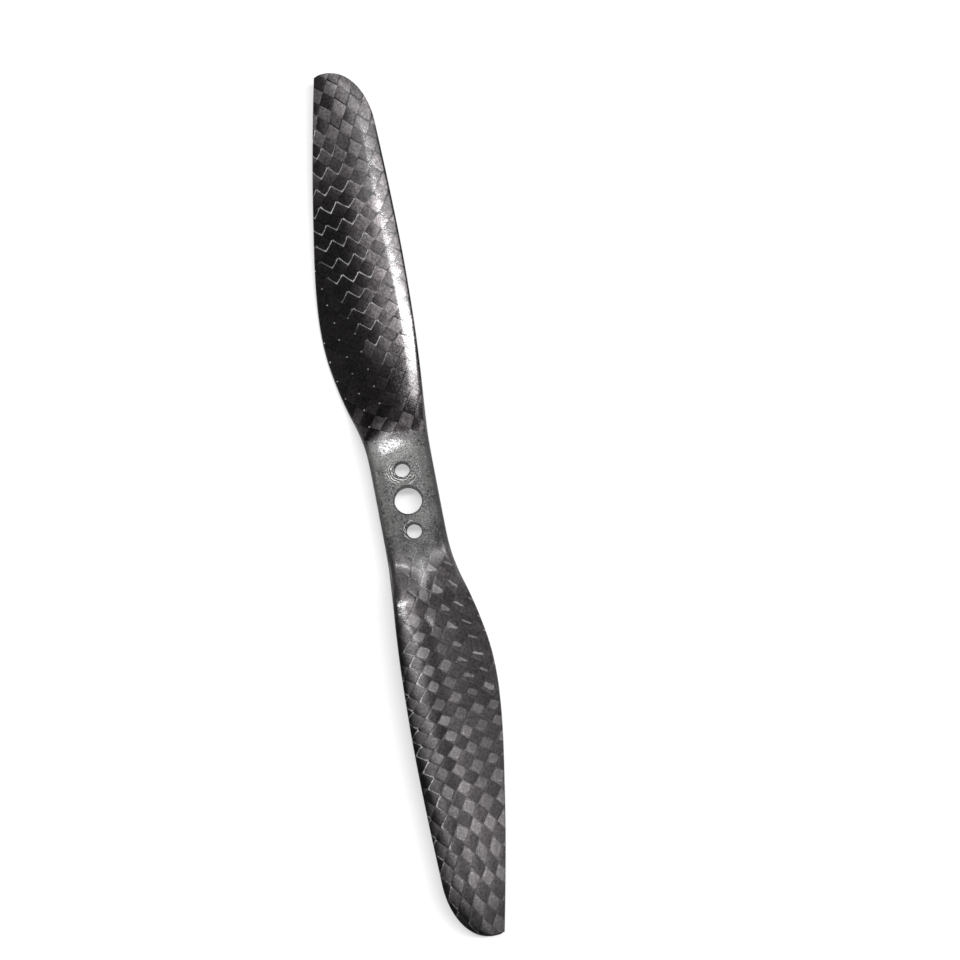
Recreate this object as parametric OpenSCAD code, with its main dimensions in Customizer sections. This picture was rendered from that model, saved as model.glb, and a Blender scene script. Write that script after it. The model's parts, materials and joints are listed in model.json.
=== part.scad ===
// Two-blade fixed-pitch propeller, compression moulded from carbon fibre.
// Two woven skins close over a core of flat plies, hub pads and edge rovings.
// +Z points up the shaft. The origin is the centre of the shaft bore on the
// hub's lower face. The blades lie along X. The blade on +X has its leading
// edge on -Y, so the propeller turns clockwise seen from above.

/* [Size] */
// Diameter of the circle that the tips sweep
diameter = 127; // [120:1:134]
// Distance that the blade would advance in one turn
pitch = 76.2; // [64:0.2:84]
// Steepest angle of the blade near its root
root_angle = 22.5; // [18:0.5:23]

/* [Hub] */
// Width of the hub across the blades
hub_w = 9.1; // [8.8:0.1:9.6]
// Height of the hub from motor face to nut face
hub_h = 5; // [4.6:0.1:5.6]
// Radius where the flat hub starts to turn into the blade
hub_flat = 8.5; // [8:0.1:9]
// Radius where the blade has its own section
blade_start = 15; // [14:0.1:16]
// Radius of the hub's long edges
hub_round = 1.2; // [0.8:0.1:1.6]

/* [Holes] */
// Diameter of the shaft bore
bore_d = 4; // [3:0.1:5]
// Diameter of the two screw holes
screw_d = 2.2; // [1.6:0.1:2.6]
// Distance between the centres of the two screw holes
screw_gap = 9; // [8:0.1:10]

/* [Blade section] */
// Height of the blade's pitch line above the motor face
blade_lift = 3.5; // [3.4:0.05:4]
// Height of the camber line as a share of the chord
camber = 0.055; // [0.02:0.005:0.07]
// Place of the highest camber as a share of the chord
camber_at = 0.3; // [0.25:0.01:0.5]
// Thickness of the trailing edge
trailing_t = 0.4; // [0.3:0.05:0.6]
// Thickness of the leading edge at its very front
leading_t = 0.16; // [0.1:0.02:0.3]

/* [Layup] */
// Thickness of one woven skin
skin_t = 0.2; // [0.15:0.01:0.24]
// Thickness of one flat ply
ply_t = 0.12; // [0.1:0.01:0.16]
// Length over which a ply thins to its end
scarf = 4; // [2:0.5:6]
// Radius where a hub pad starts to thin
pad_flat = 9; // [8.5:0.1:10]

/* [Hidden] */
tip_r = diameter / 2;
hub_half = hub_w / 2;
$fn = 64;

// Blade outline: share of the tip radius, then the distance ahead of or behind
// the pitch line, seen from above.
lead_line = [
    [0, hub_half], [0.13, hub_half + 0.1], [0.2, 4.95], [0.3, 5.5], [0.4, 5.9],
    [0.55, 6.2], [0.7, 6.2], [0.86, 6]
];
trail_line = [
    [0, hub_half], [0.1, hub_half], [0.14, hub_half + 0.2], [0.18, 5.25], [0.23, 6.15],
    [0.29, 7], [0.36, 7.65], [0.43, 7.75], [0.5, 7.4], [0.57, 6.8], [0.64, 6.05],
    [0.77, 4.55], [0.9, 2.85], [0.996, 1.5]
];
// Greatest thickness of the blade at a share of the tip radius.
thick_line = [[0.14, 3.4], [0.18, 2.9], [0.25, 2.2], [0.33, 1.75], [0.45, 1.5], [0.72, 1.1], [1, 0.7]];

// The leading edge rounds off to the tip along a quarter of an ellipse.
round_start = 0.86 * tip_r;
// The tip's last edge runs between these distances from the pitch line.
tip_lead = 0.3;
tip_trail = 0.9;

// Stations along one blade: hub, blend, blade and tip.
blend_steps = 6;
blade_steps = 12;
tip_steps = 7;
radii = [
    0,
    for (k = [0:blend_steps]) mix(hub_flat, blade_start, k / blend_steps),
    for (k = [1:blade_steps]) mix(blade_start, round_start, k / blade_steps),
    for (k = [1:tip_steps]) mix(round_start, tip_r, sin(90 * k / tip_steps))
];
last = len(radii) - 1;
// The trailing edge ends in a corner at this station.
corner_r = radii[last - 1];

// Columns across the chord, from the leading edge (0) to the trailing edge (1).
// The hub's columns are symmetric, so that the two blades share them there.
hub_cols = [
    0, 0.008, 0.018, 0.028, 0.042, 0.052, 0.14, 0.26, 0.38, 0.5,
    0.62, 0.74, 0.86, 0.948, 0.958, 0.972, 0.982, 0.992, 1
];
blade_cols = [
    0, 0.01, 0.028, 0.05, 0.065, 0.13, 0.22, 0.32, 0.43, 0.54,
    0.65, 0.75, 0.83, 0.88, 0.89, 0.905, 0.93, 0.965, 1
];
col_end = len(hub_cols) - 1;
// The core fills the skins between these columns. The flat plies start further in,
// because the leading edge roving lies in front of them.
core_first = 4;
core_last = 14;
ply_first = 5;
ply_last = 13;
// Least half height of the core where the blade is thin
core_least = 0.05;

// Radius where each flat ply ends, from the lowest ply to the highest.
ply_ends = [1, 0.85, 0.69, 0.5, 0.4, 0.6, 0.77, 1] * tip_r;
plies = len(ply_ends);
pads = plies + 1;
pad_t = (hub_h - 2 * skin_t - plies * ply_t) / pads;
// The middle pad ends at this radius. Each pad further out is shorter by pad_step.
pad_end = 14.2;
pad_step = 0.6;
layers = plies + pads;
// Thickness left at the end of a scarf, as a share of the layer's own
scarf_end = 0.2;
// The leading edge rovings run between these radii.
roving_start = 11;
roving_end = 0.94 * tip_r;

// ---- Curves ----

function mix(a, b, t) = a + (b - a) * t;
function clamp(t) = min(max(t, 0), 1);
function ease(t) = let (u = clamp(t)) u * u * (3 - 2 * u);

// Slope of a line of points at point k.
function slope(pts, k) =
    let (a = pts[max(k - 1, 0)], b = pts[min(k + 1, len(pts) - 1)])
    (b[1] - a[1]) / (b[0] - a[0]);

// Smooth curve through a line of points, held level past its ends.
function curve(pts, x) =
    let (end = len(pts) - 1, t = min(max(x, pts[0][0]), pts[end][0]))
    let (k = min(len([for (p = pts) if (p[0] <= t) 1]) - 1, end - 1))
    let (a = pts[k], b = pts[k + 1], w = b[0] - a[0], u = (t - a[0]) / w)
    a[1] * (1 + 2 * u) * pow(1 - u, 2) + b[1] * u * u * (3 - 2 * u)
    + w * (slope(pts, k) * u * pow(1 - u, 2) - slope(pts, k + 1) * u * u * (1 - u));

// ---- Blade surface ----

// Share of the hub's form in the section: 1 in the hub, 0 in the blade.
function hub_share(r) = 1 - ease((r - hub_flat) / (blade_start - hub_flat));

function lead(r) =
    let (full = curve(lead_line, r / tip_r), u = clamp((r - round_start) / (tip_r - round_start)))
    tip_lead + (full - tip_lead) * sqrt(1 - u * u);

function trail(r) =
    r <= corner_r
    ? curve(trail_line, r / tip_r)
    : mix(curve(trail_line, corner_r / tip_r), tip_trail, (r - corner_r) / (tip_r - corner_r));

function chord(r) = lead(r) + trail(r);

// Slope of the chord: the constant-pitch helix, eased to the root angle inboard.
function blade_slope(r) =
    let (helix = atan(pitch / (2 * PI * max(r, 1))), sharp = 12)
    tan(pow(pow(helix, -sharp) + pow(root_angle, -sharp), -1 / sharp));

function camber_line(q) =
    q < camber_at
    ? (2 * camber_at * q - q * q) / pow(camber_at, 2)
    : (1 - 2 * camber_at + 2 * camber_at * q - q * q) / pow(1 - camber_at, 2);

// Thickness form of a NACA four-digit section, 1 at its thickest.
function section(q) =
    10 * (0.2969 * sqrt(q) - 0.126 * q - 0.3516 * q * q + 0.2843 * pow(q, 3) - 0.1036 * pow(q, 4));

function mean_z(r, q) =
    let (v = lead(r) - q * chord(r))
    let (blade = blade_lift + v * blade_slope(r) + camber * chord(r) * camber_line(q))
    mix(blade, hub_h / 2, hub_share(r));

function hub_half_t(r, q) =
    let (edge = hub_round - min(min(q, 1 - q) * chord(r), hub_round))
    hub_h / 2 - hub_round + sqrt(pow(hub_round, 2) - edge * edge);

function blade_half_t(r, q) =
    let (edge = mix(leading_t, trailing_t, q) / 2)
    edge + (curve(thick_line, r / tip_r) / 2 - edge) * section(q);

function half_t(r, q) = mix(blade_half_t(r, q), hub_half_t(r, q), hub_share(r));

// ---- Grids ----

// Column j of the station at radius r, as a share of the chord.
function col(r, j) = mix(blade_cols[j], hub_cols[j], hub_share(r));

// Everything about one grid point that the pieces share:
// [x, y, height of the mean surface, half thickness, half height of the core].
function grid_point(r, j) =
    let (q = col(r, j), half = half_t(r, q))
    let (core = j < core_first || j > core_last ? 0 : max(half - skin_t, core_least))
    [r, q * chord(r) - lead(r), mean_z(r, q), half, core];

blade_grid = [for (r = radii) [for (j = [0:col_end]) grid_point(r, j)]];

// Grid point of station i, from -last at one tip to last at the other.
function at(i, j) =
    i >= 0
    ? blade_grid[i][j]
    : let (p = blade_grid[-i][col_end - j]) [-p[0], -p[1], p[2], p[3], p[4]];

// Radius where pad k ends.
function pad_reach(k) = pad_end - pad_step * abs(k - (pads + 1) / 2);

// Thickness of layer n at radius r. Pads and plies alternate, with a pad first.
function layer_t(n, r) =
    n % 2 == 0
    ? let (end = pad_reach(n / 2 + 1)) thinned(pad_t, r, end, end - pad_flat)
    : thinned(ply_t, r, ply_ends[(n - 1) / 2], scarf);

function thinned(t, r, end, taper) =
    r > end ? 0 : end >= tip_r ? t : t * mix(scarf_end, 1, clamp((end - r) / taper));

// Height of the top of each layer at radius r, as a share of the core.
function layer_tops(r) =
    let (t = [for (n = [0:layers - 1]) layer_t(n, r)], total = sum(t, layers))
    [for (n = [0:layers]) sum(t, n) / total];
function sum(list, count) = count == 0 ? 0 : list[count - 1] + sum(list, count - 1);

tops = [for (r = radii) layer_tops(r)];

// Points of a surface over stations i0 to i1 and columns j0 to j1. The surface is
// the skin's outside (side 1 or -1), the parting surface and core (side 0 or as
// given), or the top of layer n.
function outside(i0, i1, side) =
    [for (i = [i0:i1]) [for (j = [0:col_end]) let (p = at(i, j)) [p[0], p[1], p[2] + side * p[3]]]];
function inside(i0, i1, side) =
    [for (i = [i0:i1]) [for (j = [0:col_end]) let (p = at(i, j)) [p[0], p[1], p[2] + side * p[4]]]];
function layer_top(i0, i1, j0, j1, n) =
    [for (i = [i0:i1]) [for (j = [j0:j1])
        let (p = at(i, j)) [p[0], p[1], p[2] + p[4] * (2 * tops[abs(i)][n] - 1)]]];

// ---- Solids ----

// Closed solid between two surfaces that have the same stations and columns.
module slab(top, bottom) {
    rows = len(top);
    cols = len(top[0]);
    low = rows * cols;
    points = [for (row = top) each row, for (row = bottom) each row];
    upper = [for (i = [0:rows - 2]) for (j = [0:cols - 2])
        let (a = i * cols + j, b = a + 1, c = b + cols, d = a + cols)
        each [[a, b, c], [a, c, d]]];
    lower = [for (f = upper) [f[0] + low, f[2] + low, f[1] + low]];
    sides = [for (i = [0:rows - 2])
        let (a = i * cols, b = a + cols, c = a + cols - 1, d = b + cols - 1)
        each [[a, b, b + low, a + low], [d, c, c + low, d + low]]];
    ends = [for (j = [0:cols - 2])
        let (a = j, b = j + 1, c = low - cols + j, d = c + 1)
        each [[b, a, a + low, b + low], [c, d, d + low, c + low]]];
    polyhedron(points, concat(upper, lower, sides, ends));
}

module drilled() {
    reach = 1;
    difference() {
        children();
        translate([0, 0, -reach]) cylinder(d = bore_d, h = hub_h + 2 * reach);
        for (side = [-1, 1])
            translate([side * screw_gap / 2, 0, -reach]) cylinder(d = screw_d, h = hub_h + 2 * reach);
    }
}

module upper_skin() {
    color("#2b2a2c") drilled() slab(outside(-last, last, 1), inside(-last, last, 1));
}

module lower_skin() {
    color("#242325") drilled() slab(inside(-last, last, -1), outside(-last, last, -1));
}

// Last station that lies within radius r.
function station(r) = len([for (s = radii) if (s <= r) 1]) - 1;

// The roving fills the core between the skins in front of the plies.
module leading_edge_roving() {
    i0 = station(roving_start) + 1;
    i1 = station(roving_end);
    color("#3a3a3c")
        slab(layer_top(i0, i1, core_first, ply_first, layers), layer_top(i0, i1, core_first, ply_first, 0));
}

// Layer n of the stack, as far out as radius r on both blades.
module layer(n, r) {
    end = station(r);
    drilled()
        slab(layer_top(-end, end, ply_first, ply_last, n + 1), layer_top(-end, end, ply_first, ply_last, n));
}

module ud_ply(k) {
    color("#343437") layer(2 * k - 1, ply_ends[k - 1]);
}

module hub_pad(k) {
    color("#454548") layer(2 * k - 2, pad_reach(k));
}

upper_skin();
lower_skin();
leading_edge_roving();  // leading_edge_roving_a
rotate([0, 0, 180]) leading_edge_roving();  // leading_edge_roving_b
for (k = [1:plies]) ud_ply(k);
for (k = [1:pads]) hub_pad(k);
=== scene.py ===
import json
import math

import bpy
import numpy as np
from mathutils import Matrix, Vector


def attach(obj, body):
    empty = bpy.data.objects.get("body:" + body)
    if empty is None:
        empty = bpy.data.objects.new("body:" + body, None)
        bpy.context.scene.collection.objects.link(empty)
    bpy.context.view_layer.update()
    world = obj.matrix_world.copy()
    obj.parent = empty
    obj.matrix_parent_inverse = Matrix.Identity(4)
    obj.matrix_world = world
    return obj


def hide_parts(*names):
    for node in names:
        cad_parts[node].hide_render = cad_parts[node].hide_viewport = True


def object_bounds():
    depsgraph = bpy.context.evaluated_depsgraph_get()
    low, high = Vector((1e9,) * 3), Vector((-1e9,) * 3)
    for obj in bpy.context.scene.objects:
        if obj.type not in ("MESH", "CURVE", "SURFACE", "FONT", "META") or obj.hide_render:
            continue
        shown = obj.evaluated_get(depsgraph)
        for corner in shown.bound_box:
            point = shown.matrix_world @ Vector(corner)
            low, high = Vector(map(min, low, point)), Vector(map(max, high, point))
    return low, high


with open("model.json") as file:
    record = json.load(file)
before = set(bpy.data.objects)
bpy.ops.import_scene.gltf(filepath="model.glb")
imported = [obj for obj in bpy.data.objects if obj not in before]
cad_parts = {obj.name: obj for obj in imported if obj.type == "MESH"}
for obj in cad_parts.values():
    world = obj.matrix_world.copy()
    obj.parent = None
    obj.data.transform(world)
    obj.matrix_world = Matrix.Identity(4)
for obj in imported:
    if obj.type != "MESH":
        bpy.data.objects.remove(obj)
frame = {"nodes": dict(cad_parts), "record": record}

CAD_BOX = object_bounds()

# ---------------------------------------------------------------- sizes, in mm

MM = 0.001
MOUNTS = {m["name"]: m for m in frame["record"]["mounts"]}
TIP_R = CAD_BOX[1][0] / MM
HUB_H = MOUNTS["nut_face"]["pos_m"][2] / MM
BORE_R = MOUNTS["shaft_bore"]["dims"]["r_mm"]
SCREW_R = MOUNTS["screw_holes"]["dims"]["hole_r_mm"]
SCREW_X = MOUNTS["screw_holes"]["dims"]["spacing_x_mm"] / 2
HOLES = ((0.0, BORE_R), (SCREW_X, SCREW_R), (-SCREW_X, SCREW_R))

# The same design values as the CAD part.
HUB_W = 9.1
HUB_FLAT = 8.5
BLADE_START = 15.0
HUB_ROUND = 1.2
PITCH = 76.2
ROOT_ANGLE = math.radians(22.5)
HELIX_SHARP = 12
BLADE_LIFT = 3.5
CAMBER = 0.055
CAMBER_AT = 0.3
LEADING_T = 0.16
TRAILING_T = 0.4
SKIN_T = 0.2
CORE_LEAST = 0.05
CORE_FROM, CORE_TO = 0.065, 0.89
CORE_HUB_EDGE = 0.042
CORE_RAMP = 0.015
ROUND_START = 0.86 * TIP_R
TIP_LEAD, TIP_TRAIL = 0.3, 0.9
TIP_STEPS = 7
CORNER_R = ROUND_START + (TIP_R - ROUND_START) * math.sin(math.pi / 2 * (TIP_STEPS - 1) / TIP_STEPS)
LEAD_LINE = (
    (0, HUB_W / 2), (0.13, HUB_W / 2 + 0.1), (0.2, 4.95), (0.3, 5.5), (0.4, 5.9),
    (0.55, 6.2), (0.7, 6.2), (0.86, 6),
)
TRAIL_LINE = (
    (0, HUB_W / 2), (0.1, HUB_W / 2), (0.14, HUB_W / 2 + 0.2), (0.18, 5.25), (0.23, 6.15), (0.29, 7),
    (0.36, 7.65), (0.43, 7.75), (0.5, 7.4), (0.57, 6.8), (0.64, 6.05), (0.77, 4.55), (0.9, 2.85),
    (0.996, 1.5),
)
THICK_LINE = ((0.14, 3.4), (0.18, 2.9), (0.25, 2.2), (0.33, 1.75), (0.45, 1.5), (0.72, 1.1), (1, 0.7))

# Fine shape that only the visible skins have.
ROWS, COLUMNS = 560, 79
TIP_SHARE = 5           # one row in so many is in the rounded tip
EDGE_CROWD = 0.75       # how much closer the columns are at the edges
EDGE_ROUND = 0.14       # width of the trailing edge's rounding
EDGE_BITE = 0.8         # how far it goes, where 1 is down to a sharp edge
HOLE_SIDES = 96
CUTTER_IN, CUTTER_OUT = 3, 2        # reach of the cutters into the hub and out of it
RIM_BREAK = 0.04        # broken edge of the drilled holes
WALL_NORMAL = 0.95      # faces of a hole whose normal stands up less than this are its wall
SHARP_ANGLE = math.radians(40)
RELIEF = 0.008          # depth between the crown of a tow and the crossing beside it
RELIEF_INSET = 0.8      # the relief fades out over this distance to an edge
RELIEF_FROM, RELIEF_FULL = 9, 13    # and between these distances from the shaft
CROWN_FLAT = 0.7        # a power, below 1 for a flatter crown

# The weave's layout.
DRAPE_ROWS, DRAPE_COLUMNS = 401, 121
WANDER, FLUTTER = 0.07, 0.05        # how far a tow strays from its line, in tow widths


# ---------------------------------------------------------------- blade surface

def ease(t):
    u = np.clip(t, 0, 1)
    return u * u * (3 - 2 * u)


def mix(a, b, t):
    return a + (b - a) * t


def curve(points, x):
    """Smooth curve through a line of points, held level past its ends."""
    px = np.array([p[0] for p in points], float)
    py = np.array([p[1] for p in points], float)
    last = len(px) - 1
    before = np.maximum(np.arange(last + 1) - 1, 0)
    after = np.minimum(np.arange(last + 1) + 1, last)
    slope = (py[after] - py[before]) / (px[after] - px[before])
    t = np.clip(x, px[0], px[-1])
    k = np.clip(np.searchsorted(px, t, side="right") - 1, 0, last - 1)
    w = px[k + 1] - px[k]
    u = (t - px[k]) / w
    return (
        py[k] * (1 + 2 * u) * (1 - u) ** 2 + py[k + 1] * u * u * (3 - 2 * u)
        + w * (slope[k] * u * (1 - u) ** 2 - slope[k + 1] * u * u * (1 - u))
    )


def hub_share(r):
    return 1 - ease((r - HUB_FLAT) / (BLADE_START - HUB_FLAT))


def lead(r):
    u = np.clip((r - ROUND_START) / (TIP_R - ROUND_START), 0, 1)
    full = curve(LEAD_LINE, r / TIP_R)
    return TIP_LEAD + (full - TIP_LEAD) * np.sqrt(1 - u * u)


def trail(r):
    inner = curve(TRAIL_LINE, np.minimum(r, CORNER_R) / TIP_R)
    return mix(inner, TIP_TRAIL, np.clip((r - CORNER_R) / (TIP_R - CORNER_R), 0, 1))


def chord(r):
    return lead(r) + trail(r)


def blade_slope(r):
    helix = np.arctan(PITCH / (2 * math.pi * np.maximum(r, 1)))
    return np.tan((helix ** -HELIX_SHARP + ROOT_ANGLE ** -HELIX_SHARP) ** (-1 / HELIX_SHARP))


def camber_line(q):
    front = (2 * CAMBER_AT * q - q * q) / CAMBER_AT ** 2
    back = (1 - 2 * CAMBER_AT + 2 * CAMBER_AT * q - q * q) / (1 - CAMBER_AT) ** 2
    return np.where(q < CAMBER_AT, front, back)


def section(q):
    """NACA four-digit thickness form, 1 at its thickest, with a closed trailing edge."""
    return 10 * (0.2969 * np.sqrt(q) - 0.126 * q - 0.3516 * q ** 2 + 0.2843 * q ** 3 - 0.1036 * q ** 4)


def mean_z(r, q):
    v = lead(r) - q * chord(r)
    blade = BLADE_LIFT + v * blade_slope(r) + CAMBER * chord(r) * camber_line(q)
    return mix(blade, HUB_H / 2, hub_share(r))


def half_t(r, q):
    """Half thickness, with the trailing edge rounded over EDGE_ROUND."""
    inset = HUB_ROUND - np.minimum(np.minimum(q, 1 - q) * chord(r), HUB_ROUND)
    hub = HUB_H / 2 - HUB_ROUND + np.sqrt(HUB_ROUND ** 2 - inset ** 2)
    edge = mix(LEADING_T, TRAILING_T, q) / 2
    blade = edge + (curve(THICK_LINE, r / TIP_R) / 2 - edge) * section(q)
    near = 1 - np.minimum((1 - q) * chord(r), EDGE_ROUND) / EDGE_ROUND
    blade = blade - edge * (1 - np.sqrt(1 - EDGE_BITE * near ** 2))
    return mix(blade, hub, hub_share(r))


def core_half(r, q, half):
    """Half height of the core between the skins."""
    first = mix(CORE_FROM, CORE_HUB_EDGE, hub_share(r))
    end = mix(CORE_TO, 1 - CORE_HUB_EDGE, hub_share(r))
    inside = np.clip(np.minimum(q - first, end - q) / CORE_RAMP + 1, 0, 1)
    return inside * np.maximum(half - SKIN_T, CORE_LEAST)


# ---------------------------------------------------------------- weave layout

class Weave:
    """Where the two families of tows lie on a skin. The cloth is draped along the
    surface, so its second coordinate is the length over the skin and not y.

    Each row of drape is x, the angle of each family from the span in degrees, and
    the pitch between crossings along each family in mm."""

    def __init__(self, side, drape):
        self.x = np.linspace(-TIP_R, TIP_R, DRAPE_ROWS)
        self.q = np.linspace(0, 1, DRAPE_COLUMNS)
        r = np.abs(self.x)[:, None]
        behind = self.x[:, None] < 0
        q = np.where(behind, 1 - self.q, self.q)
        z = mean_z(r, q) + side * half_t(r, q)
        y = (self.q - 0.5) * chord(r) + np.where(behind, 1, -1) * (lead(r) - trail(r)) / 2
        step = np.hypot(np.diff(y), np.diff(z))
        arc = np.concatenate([np.zeros((len(self.x), 1)), np.cumsum(step, axis=1)], axis=1)
        middle = np.array([np.interp(0, y[i], arc[i]) for i in range(len(self.x))])
        self.arc = arc - middle[:, None]
        rows = np.array(sorted(drape), float).T
        turn_a, turn_b, pitch_a, pitch_b = (np.interp(self.x, rows[0], row) for row in rows[1:])
        turn_a, turn_b = np.radians(turn_a), np.radians(turn_b)
        self.turn_a, self.turn_b = turn_a, turn_b
        between = np.sin(turn_a + turn_b)
        self.along_a = self.total(np.sin(turn_a) / between / pitch_b)
        self.along_b = self.total(np.sin(turn_b) / between / pitch_a)
        self.across_a = np.cos(turn_a) / between / pitch_b
        self.across_b = np.cos(turn_b) / between / pitch_a

    def total(self, values):
        """Running sum of values over x, zero in the middle."""
        total = np.concatenate([[0], np.cumsum((values[1:] + values[:-1]) / 2 * np.diff(self.x))])
        return total - np.interp(0, self.x, total)

    def q_at(self, x, y):
        """Share of the chord from the leading edge, and the same share counted up in y."""
        front = np.where(x < 0, -y, y)
        q = np.clip((front + lead(np.abs(x))) / chord(np.abs(x)), 0, 1)
        return q, np.where(x < 0, 1 - q, q)

    def length(self, x, y):
        """Length over the skin from where y is 0."""
        column = self.q_at(x, y)[1]
        i = np.clip((x + TIP_R) / (2 * TIP_R) * (len(self.x) - 1), 0, len(self.x) - 1.001)
        j = np.clip(column * (len(self.q) - 1), 0, len(self.q) - 1.001)
        i0, j0 = i.astype(int), j.astype(int)
        fi, fj = i - i0, j - j0
        return mix(mix(self.arc[i0, j0], self.arc[i0 + 1, j0], fi),
                   mix(self.arc[i0, j0 + 1], self.arc[i0 + 1, j0 + 1], fi), fj)

    def cells(self, x, y):
        """Count of tows crossed along each family."""
        s = self.length(x, y)
        a = np.interp(x, self.x, self.along_a) - s * np.interp(x, self.x, self.across_a)
        b = np.interp(x, self.x, self.along_b) + s * np.interp(x, self.x, self.across_b)
        a += WANDER * np.sin(x * 0.41 + s * 0.55) + FLUTTER * np.sin(x * 0.97 - s * 0.8 + 1.3)
        b += WANDER * np.sin(x * 0.37 - s * 0.6 + 2.1) + FLUTTER * np.sin(x * 1.03 + s * 0.7)
        return a, b


def relief(a, b):
    """0 on the crown of a tow to 1 where it dips beside its neighbours."""
    fa, fb = a - np.floor(a) - 0.5, b - np.floor(b) - 0.5
    return 1 - (np.cos(np.pi * fa) * np.cos(np.pi * fb)) ** CROWN_FLAT


# ---------------------------------------------------------------- meshes

def make_mesh(name, points, faces):
    me = bpy.data.meshes.new(name)
    me.from_pydata([tuple(p) for p in points], [], faces)
    me.update()
    ob = bpy.data.objects.new(name, me)
    bpy.context.scene.collection.objects.link(ob)
    return ob


def grid_faces(rows, columns):
    """Faces of a closed slab: an upper grid of points and then a lower one."""
    low = rows * columns
    i, j = np.meshgrid(np.arange(rows - 1), np.arange(columns - 1), indexing="ij")
    a = (i * columns + j).ravel()
    quads = np.stack([a, a + columns, a + columns + 1, a + 1], axis=1)
    under = quads[:, ::-1] + low
    e = np.arange(rows - 1) * columns
    front = np.stack([e, e + low, e + columns + low, e + columns], axis=1)
    f = e + columns - 1
    back = np.stack([f, f + columns, f + columns + low, f + low], axis=1)
    g = np.arange(columns - 1)
    start = np.stack([g, g + 1, g + 1 + low, g + low], axis=1)
    h = g + (rows - 1) * columns
    end = np.stack([h, h + low, h + 1 + low, h + 1], axis=1)
    return np.concatenate([quads, under, front, back, start, end]).tolist()


def stations():
    """Distances along the span, closer together where the tip rounds off."""
    n = ROWS // 2
    tip = n // TIP_SHARE
    inner = np.linspace(0, ROUND_START, n - tip, endpoint=False)
    outer = ROUND_START + (TIP_R - ROUND_START) * np.sin(np.linspace(0, np.pi / 2, tip + 1))
    r = np.concatenate([inner, outer])
    return np.concatenate([-r[:0:-1], r])


def columns():
    """Shares of the chord, closer together at the two edges."""
    t = np.linspace(0, 1, COLUMNS)
    return mix(t, (1 - np.cos(np.pi * t)) / 2, EDGE_CROWD)


def skin_mesh(name, side, weave):
    """Woven skin: its outside has the tows' relief, its inside bounds the core."""
    x = stations()[:, None]
    across = columns()[None, :]
    r = np.abs(x)
    q = np.where(x < 0, 1 - across, across)
    y = np.where(x < 0, 1, -1) * (lead(r) - q * chord(r))
    x = np.broadcast_to(x, y.shape)
    half = half_t(r, q)
    middle = mean_z(r, q)
    edge = np.minimum(q, 1 - q) * chord(r)
    sunk = RELIEF * relief(*weave.cells(x.ravel(), y.ravel())).reshape(y.shape)
    sunk = sunk * ease(edge / RELIEF_INSET) * ease((r - RELIEF_FROM) / (RELIEF_FULL - RELIEF_FROM))
    outside = middle + side * (half - sunk)
    inside = middle + side * core_half(r, q, half)
    top, bottom = (outside, inside) if side > 0 else (inside, outside)
    points = np.concatenate([
        np.stack([x, y, top], axis=2).reshape(-1, 3),
        np.stack([x, y, bottom], axis=2).reshape(-1, 3),
    ]) * MM
    return make_mesh(name, points, grid_faces(*y.shape))


def drill(ob, side):
    """Cuts the shaft bore and the screw holes, with their rims broken."""
    face = HUB_H if side > 0 else 0.0
    profile = ((-CUTTER_IN, 0.0), (-RIM_BREAK, 0.0), (0.0, RIM_BREAK), (CUTTER_OUT, RIM_BREAK))
    turn = 2 * np.pi * np.arange(HOLE_SIDES) / HOLE_SIDES
    for n, (x, r) in enumerate(HOLES):
        rings = sorted((face + out * side, r + wider) for out, wider in profile)
        points, faces = [], []
        for z, radius in rings:
            ring = x + radius * np.cos(turn), radius * np.sin(turn), np.full_like(turn, z)
            points.extend(np.stack(ring, axis=1) * MM)
        for start in range(0, len(points) - HOLE_SIDES, HOLE_SIDES):
            for k in range(HOLE_SIDES):
                a, b = start + k, start + (k + 1) % HOLE_SIDES
                faces.append((a, b, b + HOLE_SIDES, a + HOLE_SIDES))
        faces.append(tuple(range(HOLE_SIDES))[::-1])
        faces.append(tuple(range(len(points) - HOLE_SIDES, len(points))))
        cutter = make_mesh(f"cutter_{n}", points, faces)
        cut = ob.modifiers.new("drill", "BOOLEAN")
        cut.operation = "DIFFERENCE"
        cut.solver = "MANIFOLD"
        cut.object = cutter
        bpy.context.view_layer.update()
        done = bpy.data.meshes.new_from_object(ob.evaluated_get(bpy.context.evaluated_depsgraph_get()))
        ob.modifiers.clear()
        old, ob.data = ob.data, done
        bpy.data.meshes.remove(old)
        bpy.data.objects.remove(cutter)


def get_vectors(items, name):
    values = np.empty(len(items) * 3, np.float32)
    items.foreach_get(name, values)
    return values.reshape(-1, 3)


def add_vectors(me, name, *values):
    attribute = me.attributes.new(name, "FLOAT_VECTOR", "POINT")
    attribute.data.foreach_set("vector", np.stack(values, axis=1).astype(np.float32).ravel())


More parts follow.
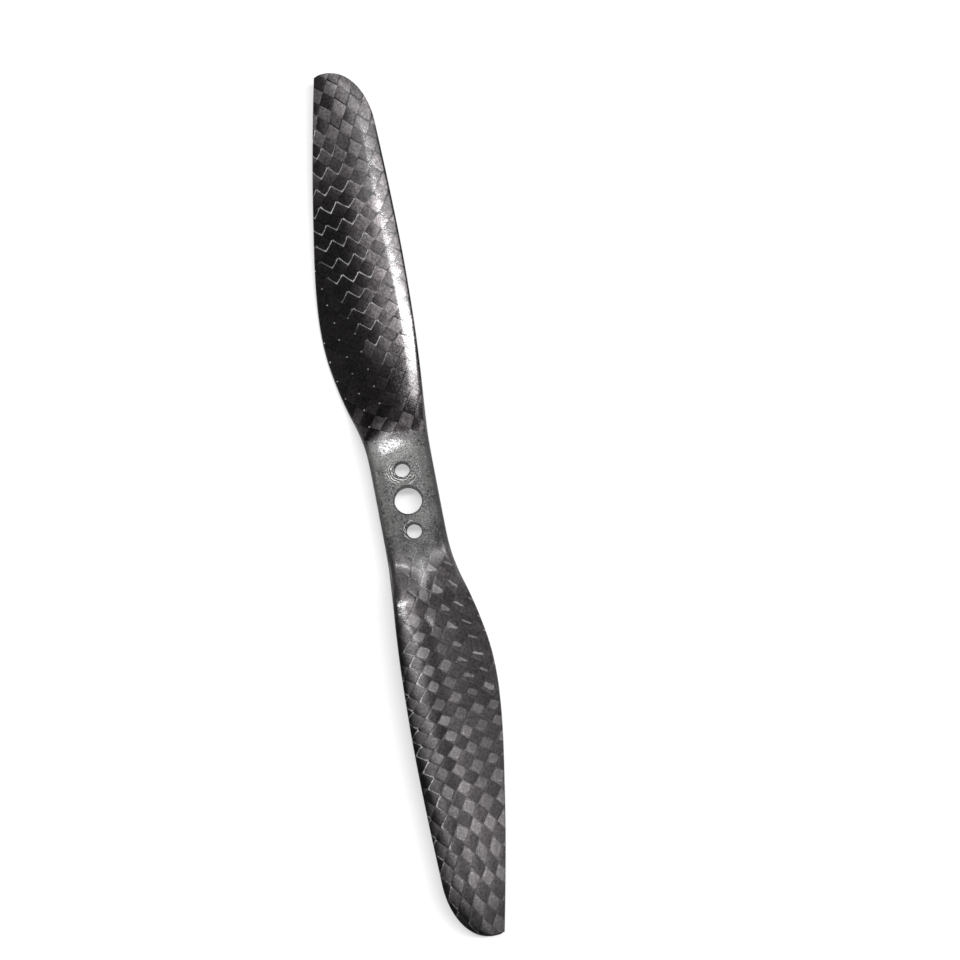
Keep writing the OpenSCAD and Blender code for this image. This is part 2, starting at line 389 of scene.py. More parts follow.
def finish_skin(ob, weave, woven, cut_edge):
    """Attributes that the woven material reads, and the cut edge inside the holes."""
    me = ob.data
    x, y, _ = (get_vectors(me.vertices, "co").T / MM).astype(float)
    a, b = weave.cells(x, y)
    q = weave.q_at(x, y)[0]
    edge = np.minimum(q, 1 - q) * chord(np.abs(x))
    add_vectors(me, "weave", a, b, edge)
    add_vectors(me, "place", x, y, q)
    turn_a, turn_b = np.interp(x, weave.x, weave.turn_a), np.interp(x, weave.x, weave.turn_b)
    add_vectors(me, "fibre", turn_b, -turn_a, np.zeros_like(x))
    me.materials.clear()
    me.materials.append(woven)
    me.materials.append(cut_edge)
    centre = get_vectors(me.polygons, "center") / MM
    steep = np.abs(get_vectors(me.polygons, "normal")[:, 2]) < WALL_NORMAL
    wall = np.zeros(len(me.polygons), bool)
    for hole_x, hole_r in HOLES:
        wall |= steep & (np.hypot(centre[:, 0] - hole_x, centre[:, 1]) < hole_r + 1.5 * RIM_BREAK)
    me.polygons.foreach_set("material_index", wall.astype(np.int32))
    me.polygons.foreach_set("use_smooth", np.ones(len(me.polygons), bool))
    me.set_sharp_from_angle(angle=SHARP_ANGLE)
    me.update()


# ---------------------------------------------------------------- material nodes

class Nodes:
    """A Principled material and short calls for the nodes that feed it."""

    def __init__(self, name):
        self.material = bpy.data.materials.new(name)
        self.material.use_nodes = True
        self.tree = self.material.node_tree
        self.shader = self.tree.nodes["Principled BSDF"]

    def set(self, **values):
        for name, value in values.items():
            self.shader.inputs[name.replace("_", " ")].default_value = value

    def out(self, name, value):
        self.link(value, self.shader.inputs[name])

    def link(self, value, socket):
        if hasattr(value, "is_output"):
            self.tree.links.new(value, socket)
        else:
            socket.default_value = value

    def node(self, kind, **settings):
        n = self.tree.nodes.new(kind)
        for name, value in settings.items():
            setattr(n, name, value)
        return n

    def math(self, operation, a, b=0.0):
        n = self.node("ShaderNodeMath", operation=operation)
        self.link(a, n.inputs[0])
        self.link(b, n.inputs[1])
        return n.outputs[0]

    def chain(self, operation, values):
        result = values[0]
        for value in values[1:]:
            result = self.math(operation, result, value)
        return result

    def add(self, *values):
        return self.chain("ADD", values)

    def mul(self, *values):
        return self.chain("MULTIPLY", values)

    def high(self, *values):
        return self.chain("MAXIMUM", values)

    def sub(self, a, b):
        return self.math("SUBTRACT", a, b)

    def abs(self, a):
        return self.math("ABSOLUTE", a)

    def flip(self, mask):
        return self.sub(1.0, mask)

    def centred(self, share):
        return self.sub(share, 0.5)

    def length(self, a, b):
        return self.math("SQRT", self.add(self.mul(a, a), self.mul(b, b)))

    def mix(self, a, b, t):
        n = self.node("ShaderNodeMix", data_type="FLOAT")
        self.link(t, n.inputs[0])
        self.link(a, n.inputs[2])
        self.link(b, n.inputs[3])
        return n.outputs[0]

    def scaled(self, value, factor, where):
        """Value times factor where the mask is 1, and value alone where it is 0."""
        return self.mul(value, self.mix(1.0, factor, where))

    def colour(self, a, b, t, clamp=True):
        n = self.node("ShaderNodeMix", data_type="RGBA", clamp_factor=clamp)
        self.link(t, n.inputs[0])
        self.link((*a, 1) if isinstance(a, tuple) else a, n.inputs[6])
        self.link((*b, 1) if isinstance(b, tuple) else b, n.inputs[7])
        return n.outputs[2]

    def ramp(self, value, start, end, low=0.0, high=1.0):
        """Smooth step of value from start to end."""
        n = self.node("ShaderNodeMapRange", interpolation_type="SMOOTHSTEP")
        for v, socket in zip((value, start, end, low, high), n.inputs):
            self.link(v, socket)
        return n.outputs[0]

    def parts(self, vector):
        s = self.node("ShaderNodeSeparateXYZ")
        self.tree.links.new(vector, s.inputs[0])
        return s.outputs[0], s.outputs[1], s.outputs[2]

    def attribute(self, name):
        return self.parts(self.node("ShaderNodeAttribute", attribute_name=name).outputs["Vector"])

    def position(self):
        """Place in the part's frame, in mm."""
        n = self.node("ShaderNodeTexCoord")
        v = self.node("ShaderNodeVectorMath", operation="SCALE")
        self.tree.links.new(n.outputs["Object"], v.inputs[0])
        v.inputs["Scale"].default_value = 1 / MM
        return self.parts(v.outputs[0])

    def vector(self, x, y, z=0.0):
        n = self.node("ShaderNodeCombineXYZ")
        for value, socket in zip((x, y, z), n.inputs):
            self.link(value, socket)
        return n.outputs[0]

    def noise(self, vector, scale, detail=2.0, roughness=0.5):
        n = self.node("ShaderNodeTexNoise")
        self.tree.links.new(vector, n.inputs["Vector"])
        for name, value in (("Scale", scale), ("Detail", detail), ("Roughness", roughness)):
            n.inputs[name].default_value = value
        return n.outputs["Fac"]

    def random(self, vector):
        n = self.node("ShaderNodeTexWhiteNoise", noise_dimensions="3D")
        self.tree.links.new(vector, n.inputs["Vector"])
        return n.outputs["Value"]

    def bump(self, height, distance, below=None, strength=1.0):
        """Normal over a height, of which 1 stands for the distance in mm."""
        n = self.node("ShaderNodeBump")
        n.inputs["Strength"].default_value = strength
        n.inputs["Distance"].default_value = distance * MM
        self.link(height, n.inputs["Height"])
        if below is not None:
            self.link(below, n.inputs["Normal"])
        return n.outputs["Normal"]


# ---------------------------------------------------------------- woven carbon

UPPER_TONE = (0.13, 0.117, 0.121)       # graphite with a violet cast
LOWER_TONE = (0.124, 0.113, 0.117)
BLACK = (0.0, 0.0, 0.0)
# painted glints along the edges of the tows
GLINT_LINE = (0.68, 0.68, 0.67)
# painted reflection: light crowns of one family as patches and bars, and their rims
PAINTED_PATCH = (0.14, 0.128, 0.132)
PAINTED_BAR = (0.34, 0.323, 0.325)
PAINTED_PATCH_RIM = (0.42, 0.41, 0.41)
# painted sparkle of glints near the leading edge
SPARKLE_GLINT = (0.4, 0.4, 0.39)
HAZE = (0.12, 0.12, 0.118)              # the worn hub
GLARE_HALO = (0.4, 0.4, 0.395)                # painted highlight, round the hub's gloss
FLECK = (0.42, 0.42, 0.41)
# painted shade on the hub's rounded long edges
HUB_EDGE_SHADE = (0.03, 0.03, 0.03)
SCRATCH = (0.75, 0.75, 0.74)
# painted shade at the rims of the holes, and dark grooves among the scratches
RIM_SHADE_AND_GROOVE = (0.01, 0.01, 0.01)
CUT_DARK, CUT_LIGHT = (0.012, 0.012, 0.013), (0.085, 0.083, 0.085)

GLOSS_X, GLOSS_Y = 8.2, 1.0             # middle of the glossy place on the hub, in mm
GLOSS_COS, GLOSS_SIN = 0.94, 0.34       # direction across it
ROOT_GLOSS_Y = 3.5                      # middle of the gloss on the root of the -X blade
HUB_MIDDLE_Y = 0.2
TOW_H = 0.03                            # heights of the relief that only shades, in mm
FILAMENT_H = 0.006
SCRATCH_H = 0.02
PIT_H = 0.007
RAGGED = 0.22                           # how ragged the edges of all marks are
LINE_EDGE = (0.34, 0.42)                # inner edge of the painted glint lines, from a tow's middle
GAP_EDGE = (0.3, 0.38)                  # and of the dark gaps
LINE_BOW, LINE_SHIFT = 0.3, -0.07       # how far both bow over a crossing
LINE_END, LINE_SLANT = -0.19, 0.03      # q where the lines end: at the shaft, and per mm from it
CROWN_TURN = 0.16                       # turn of the painted light crowns against their tows
CROWN_POWER = 5.0                       # they are rounded squares
SCRATCH_RINGS = 17.0                    # scratches round a screw hole, in radians per mm

# Of each screw hole: its x, the direction and the reach of its scratches, and their strength.
SCUFFS = ((SCREW_X, -0.6, 1.5, 1.0), (-SCREW_X, -2.4, 0.6, 0.7))
LOWER_SCUFFS = 0.4


def woven_carbon(name, tone, side):
    """Plain-weave carbon under a clear coat. The tows' gloss follows their fibres.

    r is the distance from the shaft in mm, q runs from 0 at the leading edge to 1 at the
    trailing edge, and inset is the distance from the nearer edge in mm."""
    n = Nodes(name)
    a, b, inset = n.attribute("weave")
    x, y, q = n.attribute("place")
    across_b, across_a, _ = n.attribute("fibre")
    z = n.position()[2]
    spot = n.vector(x, y, z)
    cloud = n.noise(spot, 0.55, 3.0, 0.6)
    speck = n.noise(spot, 3.2, 4.0, 0.7)
    grain = n.ramp(n.noise(spot, 2.4, 4.0, 0.75), 0.4, 0.6)
    ragged = n.mul(n.centred(speck), RAGGED)

    # Each crossing shows one family of tows on top of the other. ca and cb run from -0.5
    # to 0.5 over it.
    ia, ib = n.math("FLOOR", a), n.math("FLOOR", b)
    ca = n.centred(n.sub(a, ia))
    cb = n.centred(n.sub(b, ib))
    odd = n.math("GREATER_THAN", n.math("FLOORED_MODULO", n.add(ia, ib), 2.0), 0.5)
    even = n.flip(odd)
    side_gap = n.abs(n.mix(cb, ca, odd))
    end_gap = n.abs(n.mix(ca, cb, odd))
    by_cell = n.random(n.vector(ia, ib, 3.0))
    by_tow = n.random(n.vector(n.mix(ib, ia, odd), odd, 7.0))

    # Filaments run along each tow.
    run = n.mix(a, b, odd)
    over = n.mix(b, a, odd)
    family = n.mul(odd, 5.0)
    fibre = n.vector(n.mul(run, 0.8), n.mul(over, 16.0), n.add(family, 1.0))
    fibre = n.noise(fibre, 1.0, 3.0, 0.6)
    fine = n.vector(n.mul(run, 1.5), n.mul(over, 44.0), n.add(family, 2.0))
    fine = n.noise(fine, 1.0, 1.0)

    # Parts of the propeller. ahead is 1 on the +X blade, and behind is 1 on the other.
    r = n.abs(x)
    ahead = n.ramp(x, -2.0, 2.0)
    behind = n.flip(ahead)
    hub = n.ramp(n.add(r, n.mul(n.centred(cloud), 4.0), n.mul(behind, 1.5)), 10.5, 7.5)
    handled = n.ramp(r, 22.0, 15.0)
    # painted shade on the trailing half of the +X blade
    rear_shade = n.mul(n.ramp(q, 0.3, 0.7), n.ramp(r, 52.0, 40.0), ahead)
    # painted light on the leading half (front) and at the tip of the +X blade, where they catch the
    # light
    front = n.ramp(n.add(q, n.mul(n.centred(by_cell), 0.3)), 0.62, 0.26)
    front = n.mul(front, n.ramp(r, 18.0, 25.0), ahead)
    nose = n.ramp(n.add(q, n.mul(n.centred(cloud), 0.12)), 0.3, 0.16)
    nose_behind = n.mul(n.ramp(q, 0.5, 0.35), behind)
    outer = n.ramp(r, 44.0, 56.0)
    tip = n.mix(n.ramp(q, 0.95, 0.7), 0.0, n.ramp(by_cell, 0.75, 0.8))
    tip = n.mul(outer, ahead, n.mix(1.0, tip, odd))
    painted_sheen = n.high(front, tip)
    # beside the hub on the -X blade, which gets painted shade and painted glints below
    beside = n.mul(n.ramp(r, 5.5, 6.5), n.ramp(r, 17.0, 13.0), behind)
    beside = n.mul(beside, n.ramp(q, 0.2, 0.32), n.ramp(q, 0.75, 0.6))
    root = n.mul(n.ramp(r, 8.0, 10.5), n.ramp(r, 21.0, 16.0), behind)
    hub_side = n.mul(n.ramp(n.abs(y), 2.4, 3.3), hub)
    # painted shade along the leading edge of the +X blade, where its nose turns down
    nose_shade = n.mul(n.ramp(n.add(inset, ragged), 0.4, 0.15), n.ramp(q, 0.3, 0.2), ahead)
    nose_shade = n.mul(nose_shade, n.ramp(r, 14.0, 20.0), n.ramp(r, 56.0, 50.0))
    flank = n.mul(n.ramp(inset, 0.25, 0.05), n.ramp(r, 15.0, 12.0))

    # A tow is rounded across and dips at both ends, under its neighbours.
    crown = n.flip(n.math("POWER", n.mul(side_gap, 2.0), 6.0))
    dip = n.math("POWER", n.mul(end_gap, 2.0), 5.0)
    height = n.mul(n.sub(n.mul(crown, 0.6), n.mul(dip, 0.5)), n.mix(1.0, 0.12, hub))
    seam = n.mul(n.ramp(n.add(end_gap, ragged), 0.45, 0.52), 0.7)
    seam = n.high(n.ramp(n.add(side_gap, ragged), 0.43, 0.5), seam)

    # Painted glints: light lines along the edges of the tows of one family, where they dip and catch the
    # light. Near the root of the +X blade they stop short of the trailing edge, and only dots are left.
    # The -X blade has them near its leading edge and beside the hub.
    bow_a = n.add(ragged, n.add(n.mul(cb, cb, LINE_BOW), LINE_SHIFT))
    bow_b = n.add(ragged, n.add(n.mul(ca, ca, LINE_BOW), LINE_SHIFT))
    from_a, from_b, to_b = n.sub(bow_a, ca), n.sub(bow_b, cb), n.add(bow_b, cb)
    low_a, low_b, high_b = (n.ramp(v, *LINE_EDGE) for v in (from_a, from_b, to_b))
    end = n.sub(q, n.add(n.mul(r, LINE_SLANT), LINE_END))
    where = n.mul(n.ramp(r, 14.0, 20.0), n.ramp(n.sub(r, n.mul(q, 16.0)), 45.0, 39.0))
    where = n.mul(where, n.ramp(q, 0.2, 0.38), ahead)
    glint_lines = n.mul(n.high(low_a, low_b), where, n.ramp(end, 0.08, -0.08))
    dots = n.mul(low_a, low_b, rear_shade, n.ramp(end, -0.08, 0.08))
    where = n.mul(n.ramp(r, 17.0, 26.0), n.ramp(r, 48.0, 58.0, 1.0, 0.35), n.ramp(q, 0.27, 0.18), behind)
    where = n.high(where, n.mul(beside, 0.7))
    edge = n.mul(n.high(low_a, high_b), n.ramp(speck, 0.35, 0.6, 0.15, 0.6), where)
    glint_lines = n.mul(n.high(glint_lines, dots, edge), odd, n.mix(0.55, 1.0, by_cell))

    # Painted reflection: crowns of the other family are painted as light patches on the -X blade,
    # where they catch the light, and as narrow bars near its trailing edge, with light painted rims.
    bar = n.mul(n.ramp(q, 0.5, 0.72), n.ramp(r, 34.0, 24.0))
    turned_a = n.add(n.abs(n.add(ca, n.mul(cb, CROWN_TURN))), n.mul(bar, 0.3))
    turned_b = n.abs(n.sub(cb, n.mul(ca, CROWN_TURN)))
    turned_b = n.mul(turned_b, n.mix(1.0, 0.8, bar))
    reach = n.add(n.math("POWER", turned_a, CROWN_POWER), n.math("POWER", turned_b, CROWN_POWER))
    reach = n.add(n.math("POWER", reach, 1 / CROWN_POWER), n.mul(ragged, 1.5))
    where = n.ramp(n.add(q, n.mul(n.centred(by_cell), 0.1)), 0.12, 0.38)
    where = n.mul(where, n.ramp(r, 7.0, 10.0), n.ramp(r, 61.0, 54.0), behind)
    where = n.mul(where, even, n.mix(0.4, 1.0, by_cell))
    painted_patches = n.mul(n.ramp(reach, 0.4, 0.35), where, n.ramp(r, 36.0, 46.0, 1.0, 0.7))
    rims = n.mul(n.ramp(reach, 0.31, 0.36), n.ramp(reach, 0.41, 0.38), where, n.ramp(speck, 0.5, 0.6))

    # The rims of the holes are painted dark, as painted shade. Screw heads have scratched short arcs
    # round the two small ones, with darker grooves between the light scratches.
    arcs = 0.0
    rim_shade_and_grooves = n.ramp(n.add(n.length(x, y), ragged), BORE_R + 0.3, BORE_R + 0.1)
    for hole_x, facing, far, strength in SCUFFS:
        dx = n.sub(x, hole_x)
        d = n.length(dx, y)
        angle = n.math("ARCTAN2", n.mul(y, -1.0), n.mul(dx, -1.0))
        wave = n.math("SINE", n.add(n.mul(d, SCRATCH_RINGS), n.mul(n.noise(spot, 1.1, 1.0), 14.0)))
        part = n.noise(n.vector(n.mul(angle, 1.3), n.mul(d, 2.6), facing), 1.0, 2.0)
        turned = n.ramp(n.abs(n.sub(angle, facing)), 1.8, 1.2)
        near = n.ramp(d, SCREW_R + 0.05, SCREW_R + 0.2)
        worn = n.mul(near, n.ramp(d, SCREW_R + far, SCREW_R + 0.6 * far), turned)
        worn = n.mul(worn, n.ramp(part, 0.38, 0.48), strength if side > 0 else strength * LOWER_SCUFFS)
        arcs = n.add(arcs, n.mul(n.ramp(wave, 0.0, 0.6), worn))
        rim_shade_and_grooves = n.add(rim_shade_and_grooves, n.mul(n.ramp(wave, -0.2, -0.8), worn))
        rim_shade_and_grooves = n.high(rim_shade_and_grooves, n.ramp(n.add(d, ragged), SCREW_R + 0.25, SCREW_R + 0.05))

    # How light the tows are. The gaps and seams between them are darker.
    gap = n.high(n.ramp(from_a, *GAP_EDGE), n.ramp(from_b, *GAP_EDGE))
    gap = n.mul(gap, odd, n.ramp(painted_sheen, 0.05, 0.5), n.ramp(speck, 0.3, 0.42), n.flip(glint_lines))
    faded = n.mul(front, n.ramp(r, 40.0, 49.0), n.ramp(r, 57.0, 52.0))
    light = n.mul(n.mix(0.8, 1.2, by_cell), n.mix(0.9, 1.1, by_tow), n.mix(0.6, 1.4, fibre))
    light = n.mul(light, n.mix(n.mix(0.7, 0.6, painted_sheen), n.mix(1.3, 1.4, painted_sheen), grain))
    # painted light on the leading half of the +X blade
    light = n.mul(light, n.mix(0.85, 1.75, front))
    # most factors below paint light and shade; the seams, gaps and cell contrast are the weave's own
    for factor, where in (
        (n.mul(n.mix(1.3, 0.8, odd), n.mix(0.7, 1.25, by_cell)), front),
        (n.mix(0.3, 0.6, behind), seam),
        # painted shade beside the hub of the -X blade
        (0.5, beside),
        # painted shade on the trailing half of the +X blade
        (0.5, rear_shade),
        # the outer +X blade and the far part of its leading half are darker, toning down the painted
        # light there
        (0.75, n.mul(outer, ahead)),
        (0.55, faded),
        # painted shade at the -X tip
        (0.5, n.mul(n.ramp(r, 53.0, 60.0), behind)),
        (0.08, gap),
        # painted shade: the -X blade is darker than the +X one
        (n.mix(0.72, 0.84, odd), behind),
        # painted shade over the ridge of the -X blade, where it would shine
        (0.43, n.mul(nose_behind, n.ramp(r, 15.0, 20.0))),
        # painted shade along the leading edge of the -X blade
        (n.ramp(r, 48.0, 56.0, 0.35, 0.7), n.mul(n.ramp(q, 0.16, 0.06), behind)),
        # painted shade along the leading edge of the +X blade
        (0.2, nose_shade),
    ):
        light = n.scaled(light, factor, where)
    # painted sparkle: light specks of glint near the leading edge of the +X blade
    painted_sparkle = n.mul(n.ramp(q, 0.42, 0.2), ahead, n.ramp(r, 10.0, 18.0), n.flip(nose_shade))
    painted_sparkle = n.mul(painted_sparkle, n.mix(0.3, 1.0, n.ramp(cloud, 0.4, 0.6)))
    painted_sparkle = n.mul(painted_sparkle, n.ramp(n.noise(spot, 5.5, 3.0, 0.8), 0.52, 0.62))
    weave = n.colour(BLACK, tone, light, clamp=False)
    # painted reflection: the light patches, bars and their rims
    weave = n.colour(weave, n.colour(PAINTED_PATCH, PAINTED_BAR, bar), n.mul(painted_patches, n.mix(0.55, 1.0, grain)))
    weave = n.colour(weave, PAINTED_PATCH_RIM, n.mul(rims, 0.7))
    # painted glints along the tow edges
    weave = n.colour(weave, GLINT_LINE, n.mul(glint_lines, n.mix(0.6, 1.0, speck)))
    weave = n.colour(weave, SPARKLE_GLINT, n.mul(painted_sparkle, 0.6))

    # The hub is hazy from handling, with painted light: lighter towards +X and lightest round its glossy
    # place.
    gloss_x, gloss_y = n.sub(x, GLOSS_X), n.sub(y, GLOSS_Y)
    along = n.abs(n.sub(n.mul(gloss_x, GLOSS_SIN), n.mul(gloss_y, GLOSS_COS)))
    across = n.abs(n.add(n.mul(gloss_x, GLOSS_COS), n.mul(gloss_y, GLOSS_SIN)))
    glare = n.mul(n.ramp(across, 1.7, 0.2), n.ramp(along, 3.4, 0.5))
    # painted highlight round the glossy place
    painted_halo = n.mul(n.ramp(across, 3.2, 0.6), n.ramp(along, 4.2, 1.5))
    flecks = n.mul(n.ramp(n.noise(spot, 3.4, 4.0, 0.8), 0.53, 0.61), n.ramp(x, -8.0, 8.0))
    haze_and_painted_light = n.mul(n.ramp(n.mix(cloud, speck, 0.5), 0.38, 0.6, 0.1, 1.4), n.mix(0.4, 1.45, grain))
    # painted light: the haze grows lighter towards the glossy +X end
    haze_and_painted_light = n.mul(haze_and_painted_light, n.ramp(x, -12.0, 10.0, 0.35, 2.2))
    haze_and_painted_light = n.colour(BLACK, HAZE, haze_and_painted_light)
    haze_and_painted_light = n.colour(haze_and_painted_light, GLARE_HALO, n.mul(painted_halo, n.ramp(speck, 0.36, 0.6, 0.15, 0.85)))
    haze_and_painted_light = n.colour(haze_and_painted_light, FLECK, n.mul(flecks, 0.8))
    # painted shade along the hub's long edges
    haze_and_painted_light = n.colour(haze_and_painted_light, HUB_EDGE_SHADE, n.ramp(n.abs(n.sub(y, HUB_MIDDLE_Y)), 3.4, 4.5, 0.0, 0.8))
    base = n.colour(weave, haze_and_painted_light, n.mul(hub, n.ramp(x, -7.5, -4.5, 0.6, 0.95)))
    base = n.colour(base, SCRATCH, n.mul(arcs, 0.9))
    # painted shade at the hole rims, and the dark grooves
    base = n.colour(base, RIM_SHADE_AND_GROOVE, n.mul(rim_shade_and_grooves, 0.85))

    # The upright sides of the hub show the cut layers.
    layers = n.noise(n.vector(n.mul(x, 0.35), n.mul(y, 3.0), n.mul(z, 5.5)), 1.0, 3.0, 0.65)
    n.out("Base Color", n.colour(base, n.colour(CUT_DARK, CUT_LIGHT, n.ramp(layers, 0.4, 0.62)), flank))

    # The fibres shine like metal. Bare resin, worn places and the painted light and glints don't.
    blend = n.mul(n.ramp(r, 6.0, 8.0), n.ramp(r, 15.0, 11.5), behind)
    worn_and_painted = n.high(n.mul(glint_lines, 0.95), n.mul(painted_patches, 0.75), n.mul(hub, 0.4))
    worn_and_painted = n.high(worn_and_painted, n.mul(painted_sheen, 0.8, n.flip(nose_shade)), rims, n.mul(blend, 0.8), hub_side, flank)
    worn_and_painted = n.mul(n.high(worn_and_painted, painted_sparkle, arcs), n.flip(rim_shade_and_grooves))
    n.out("Metallic", n.mix(n.mix(0.96, 0.65, behind), 0.0, worn_and_painted))
    rough = n.mix(n.mix(0.32, 0.42, fibre), 0.5, seam)
    rough = n.mix(rough, n.mix(0.4, 0.75, speck), hub)
    rough = n.mix(rough, 0.8, hub_side)
    n.out("Roughness", n.mix(rough, n.mix(0.45, 0.65, layers), flank))
    coat = n.mul(n.mix(1.0, 0.2, handled), n.mix(1.0, 0.3, nose_behind))
    coat = n.high(coat, n.mul(glare, n.ramp(speck, 0.38, 0.55, 0.15, 1.0)))
    coat = n.high(coat, n.mul(root, n.ramp(q, 0.36, 0.22), n.ramp(speck, 0.3, 0.5, 0.5, 1.0)))
    n.out("Coat Weight", n.mul(coat, n.flip(n.high(hub_side, flank))))

    tows = n.bump(height, TOW_H)
    filaments = n.bump(n.add(fine, n.mul(grain, n.mix(1.0, 3.5, hub))), FILAMENT_H, tows)
    scratches = n.add(n.sub(arcs, rim_shade_and_grooves), n.add(n.mul(flecks, hub), painted_sparkle))
    n.out("Normal", n.bump(scratches, SCRATCH_H, filaments))

    # The clear coat is pitted, and swells a little at its two glossy places.
    pitted = n.mul(n.noise(spot, 4.0, 2.0, 0.6), n.mix(n.mix(0.5, 1.0, nose), 2.5, handled))
    pitted = n.mul(n.add(pitted, n.mul(height, 0.3)), PIT_H)
    swell = n.mul(glare, n.mul(n.sub(GLOSS_X, x), 0.05))
    tilt = n.mul(n.sub(y, ROOT_GLOSS_Y), n.ramp(r, 9.0, 18.0, 0.11, 0.22))
    swell = n.add(swell, n.mul(root, n.ramp(q, 0.5, 0.3), tilt))
    n.out("Coat Normal", n.bump(n.add(pitted, swell), 1.0))

    # The gloss spreads across the filaments of each tow.
    angle = n.mix(across_b, across_a, odd)
    n.out("Tangent", n.vector(n.math("SINE", angle), n.math("COSINE", angle)))
    n.out("Anisotropic Rotation", n.mul(n.centred(by_cell), 0.02))
    n.set(Anisotropic=0.7, Coat_Roughness=0.14, Coat_IOR=1.5, IOR=1.5)
    return n.material


def laminate(name, dark, light, stretch):
    """Cut carbon laminate: filaments run along the propeller, with resin between."""
    n = Nodes(name)
    x, y, z = n.position()
    streak = n.noise(n.vector(n.mul(x, stretch), n.mul(y, 7.0), n.mul(z, 7.0)), 1.0, 3.0, 0.6)
    cloud = n.noise(n.vector(x, y, z), 0.6, 2.0)
    fine = n.noise(n.vector(n.mul(x, stretch * 2), n.mul(y, 30.0), n.mul(z, 30.0)), 1.0, 2.0)
    n.out("Base Color", n.colour(dark, light, n.mul(n.ramp(streak, 0.3, 0.7), n.mix(0.6, 1.2, cloud))))
    n.out("Roughness", n.mix(0.42, 0.66, streak))
    n.out("Normal", n.bump(fine, 0.01, strength=0.5))
    n.set(IOR=1.5, Metallic=0.0)
    return n.material


def pale_floor():
    n = Nodes("pale_floor")
    x, y, _ = n.position()
    cloud = n.noise(n.vector(x, y, 0.0), 0.02, 2.0)
    n.out("Base Color", n.colour((0.5, 0.5, 0.502), (0.52, 0.52, 0.52), cloud))
    n.out("Roughness", n.mix(0.75, 0.85, cloud))
    n.set(Emission_Color=(1, 1, 1, 1), Emission_Strength=0.5)
    return n.material


# ---------------------------------------------------------------- the two skins

UPPER_WEAVE = Weave(side=1, drape=(
    (60, 46, 23, 2.05, 1.9), (52, 46, 32, 2.0, 1.85), (45, 48, 43, 2.0, 1.8), (25, 51, 42, 2.0, 1.7),
    (13, 60, 34, 1.8, 1.9), (0, 52, 33, 1.9, 1.9), (-13, 44, 29, 2.0, 2.0), (-20, 56, 42, 1.87, 1.87),
    (-40, 54, 42, 1.87, 1.87), (-46, 42, 35, 2.0, 2.0), (-52, 35, 29, 2.15, 2.15),
    (-64, 34, 28, 2.15, 2.15),
))
LOWER_WEAVE = Weave(side=-1, drape=(
    (64, 40, 34, 2.0, 2.0), (40, 43, 47, 1.9, 1.9), (10, 46, 44, 1.9, 1.9), (-15, 50, 38, 1.9, 1.9),
    (-45, 44, 48, 1.9, 1.9), (-64, 32, 42, 2.0, 2.0),
))

CUT_EDGE = laminate("cut_edge", (0.012, 0.012, 0.013), (0.05, 0.05, 0.052), 1.5)
for name, side, weave, tone in (
    ("upper_skin", 1, UPPER_WEAVE, UPPER_TONE),
    ("lower_skin", -1, LOWER_WEAVE, LOWER_TONE),
):
    woven = woven_carbon(f"woven_carbon_{name}", tone, side)
    skin = skin_mesh(f"woven_{name}", side, weave)
    drill(skin, side)
    finish_skin(skin, weave, woven, CUT_EDGE)
    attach(skin, "root")
    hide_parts(name)


# ---------------------------------------------------------------- the core's own finishes

FLAT_CARBON = laminate("flat_carbon", (0.018, 0.018, 0.019), (0.075, 0.075, 0.08), 0.25)
HUB_CARBON = laminate("hub_carbon", (0.02, 0.02, 0.021), (0.1, 0.1, 0.105), 0.8)
TOW_CARBON = laminate("tow_carbon", (0.02, 0.02, 0.022), (0.09, 0.09, 0.095), 0.2)
for name, node in frame["nodes"].items():
    kind = name.rsplit("_", 1)[0]
    finish = {"ud_ply": FLAT_CARBON, "hub_pad": HUB_CARBON, "leading_edge_roving": TOW_CARBON}.get(kind)
    if finish:
        node.data.materials.clear()
        node.data.materials.append(finish)


# ---------------------------------------------------------------- floor, light and camera

FLOOR_W = 4.0           # in m
FLOOR_Z = -0.02 * MM
LIGHT_DISTANCE = 3.0    # in m
WORLD_LIGHT = 0.06

corners = [(x * FLOOR_W / 2, y * FLOOR_W / 2, FLOOR_Z) for x, y in ((-1, -1), (1, -1), (1, 1), (-1, 1))]
floor = make_mesh("floor", corners, [(0, 1, 2, 3)])
floor.data.materials.append(pale_floor())

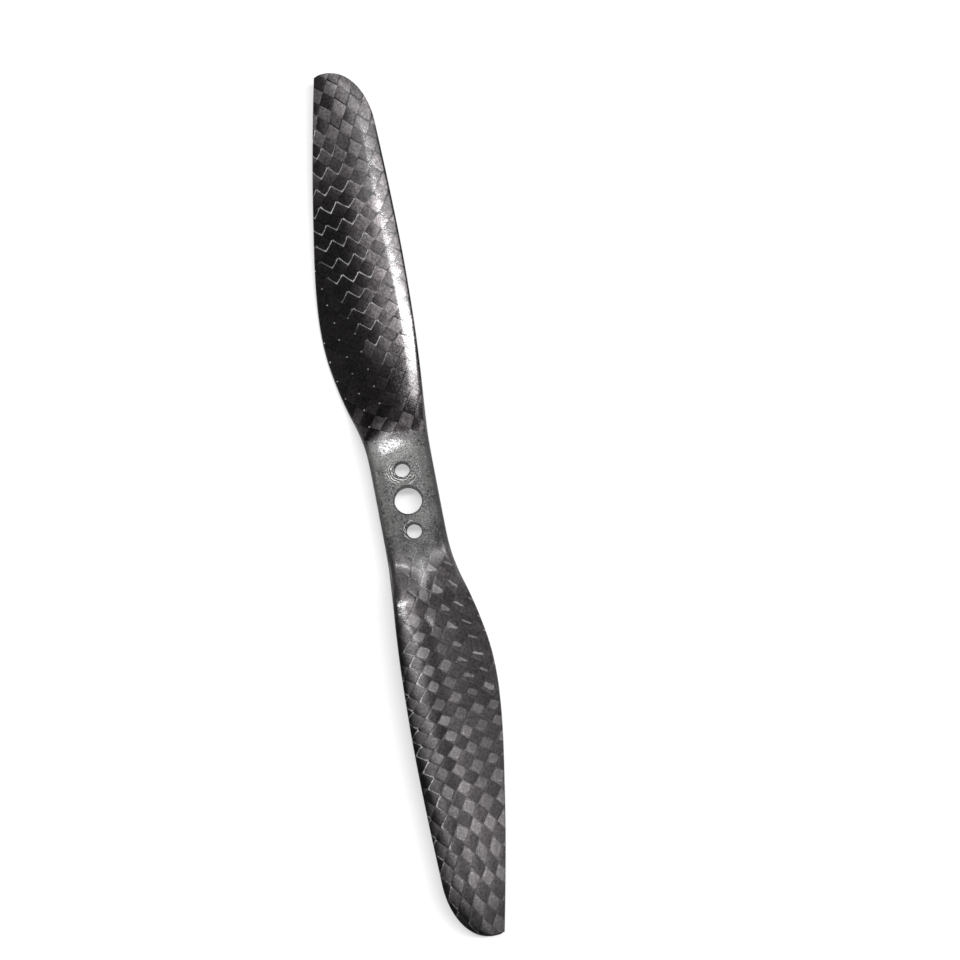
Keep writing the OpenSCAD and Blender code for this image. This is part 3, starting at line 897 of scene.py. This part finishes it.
# The view is almost from straight above, with the span leaning a little to the left.
LEAN = math.radians(11.28)
UP = Vector((math.cos(LEAN), -math.sin(LEAN), 0))
RIGHT = Vector((-math.sin(LEAN), -math.cos(LEAN), 0))
TILT = math.radians(3.1)
ROLL = math.radians(0.4)
DISTANCE = 0.35         # in m
FRAME_W = 139.1 * MM
SHIFT = (0.0747, 0.0218)

camera_data = bpy.data.cameras.new("camera")
camera = bpy.data.objects.new("camera", camera_data)
bpy.context.scene.collection.objects.link(camera)
camera_data.lens = camera_data.sensor_width * DISTANCE / FRAME_W
camera_data.shift_x, camera_data.shift_y = SHIFT
camera_data.clip_start = 0.01
overhead = Matrix((RIGHT, UP, Vector((0, 0, 1)))).transposed().to_4x4()
turn = overhead @ Matrix.Rotation(TILT, 4, "X") @ Matrix.Rotation(ROLL, 4, "Y")
away = Matrix.Translation((0, 0, DISTANCE))
camera.matrix_world = Matrix.Translation((0, 0, HUB_H / 2 * MM)) @ turn @ away
bpy.context.scene.camera = camera


def softbox(name, up, right, width, height, power):
    """Soft light in the direction that leans up and right, in degrees, from overhead."""
    data = bpy.data.lights.new(name, "AREA")
    data.shape = "RECTANGLE"
    data.size, data.size_y = width, height
    data.energy = power
    ob = bpy.data.objects.new(name, data)
    bpy.context.scene.collection.objects.link(ob)
    toward = UP * math.tan(math.radians(up)) + RIGHT * math.tan(math.radians(right)) + Vector((0, 0, 1))
    toward.normalize()
    wide = UP.cross(toward).normalized()
    facing = Matrix((wide, toward.cross(wide), toward)).transposed().to_4x4()
    ob.matrix_world = Matrix.Translation(toward * LIGHT_DISTANCE) @ facing


softbox("key", up=9.75, right=9.5, width=2.5, height=0.35, power=107)
softbox("right_fill", up=0, right=38, width=2.4, height=3.0, power=6)
softbox("left_fill", up=17, right=-24, width=0.9, height=0.9, power=2.5)

world = bpy.data.worlds.new("studio")
world.use_nodes = True
world.node_tree.nodes["Background"].inputs["Color"].default_value = (1, 1, 1, 1)
world.node_tree.nodes["Background"].inputs["Strength"].default_value = WORLD_LIGHT
bpy.context.scene.world = world
bpy.context.scene.view_settings.view_transform = "Standard"
